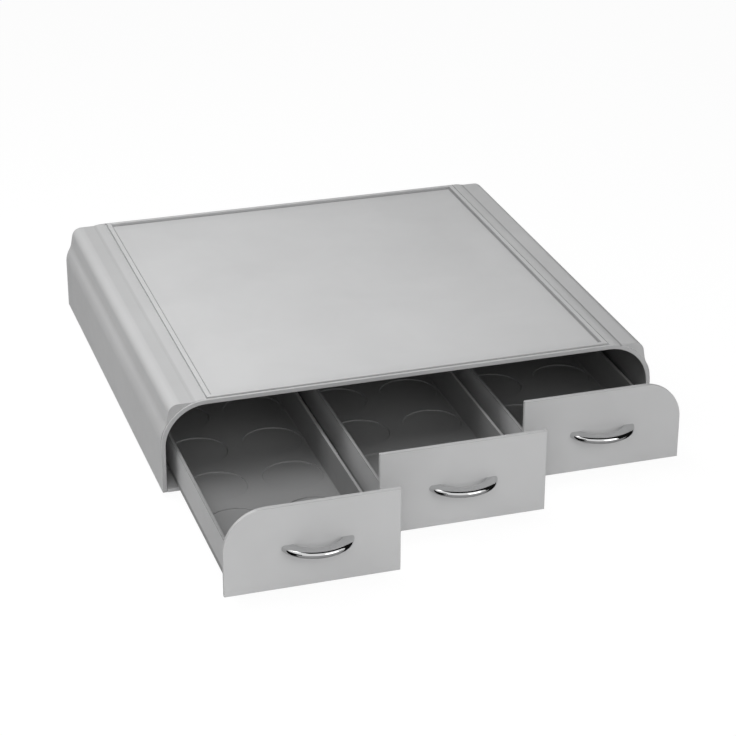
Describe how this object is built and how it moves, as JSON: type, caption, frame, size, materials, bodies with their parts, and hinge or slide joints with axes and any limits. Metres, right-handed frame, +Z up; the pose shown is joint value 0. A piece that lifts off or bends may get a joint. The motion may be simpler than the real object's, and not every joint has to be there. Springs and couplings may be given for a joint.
{
  "type": "coffee pod drawer unit",
  "caption": "Low countertop drawer unit for single-serve coffee pods: a moulded housing with a sunk top panel for the coffee machine, and side-by-side drawers with chrome bow handles.",
  "frame": {"origin": "middle of the housing's footprint, on the surface that the rubber feet stand on", "axes": "+Z up, -Y towards the front, where the drawers pull out, +X to the right of someone facing the front; the drawers are stored part open"},
  "size_m": [0.34, 0.4773, 0.0682],
  "materials": {
    "shell_plastic": "satin silver-grey moulded plastic",
    "front_plastic": "satin silver-grey moulded plastic",
    "tray_plastic": "satin silver-grey moulded plastic",
    "base_plastic": "satin grey moulded plastic",
    "handle_chrome": "bright chrome-plated die casting",
    "foot_rubber": "matt black rubber",
    "screw_steel": "zinc-plated steel"
  },
  "bodies": {
    "housing": {"housing_shell": "shell_plastic", "base_plate": "base_plastic", "divider_left": "base_plastic", "divider_right": "base_plastic", "base_screws": "screw_steel", "foot_front_left": "foot_rubber", "foot_front_right": "foot_rubber", "foot_back_left": "foot_rubber", "foot_back_right": "foot_rubber"},
    "drawer_left": {"tray_left": "tray_plastic", "front_left": "front_plastic", "handle_left": "handle_chrome", "handle_screws_left": "screw_steel"},
    "drawer_middle": {"tray_middle": "tray_plastic", "front_middle": "front_plastic", "handle_middle": "handle_chrome", "handle_screws_middle": "screw_steel"},
    "drawer_right": {"tray_right": "tray_plastic", "front_right": "front_plastic", "handle_right": "handle_chrome", "handle_screws_right": "screw_steel"}
  },
  "joints": [
    {"name": "slide_left", "type": "slide", "parent": "housing", "child": "drawer_left", "axis": [0, -1, 0], "range_m": [-0.1433, 0.1067]},
    {"name": "slide_middle", "type": "slide", "parent": "housing", "child": "drawer_middle", "axis": [0, -1, 0], "range_m": [-0.0985, 0.1515]},
    {"name": "slide_right", "type": "slide", "parent": "housing", "child": "drawer_right", "axis": [0, -1, 0], "range_m": [-0.0568, 0.1932]}
  ]
}
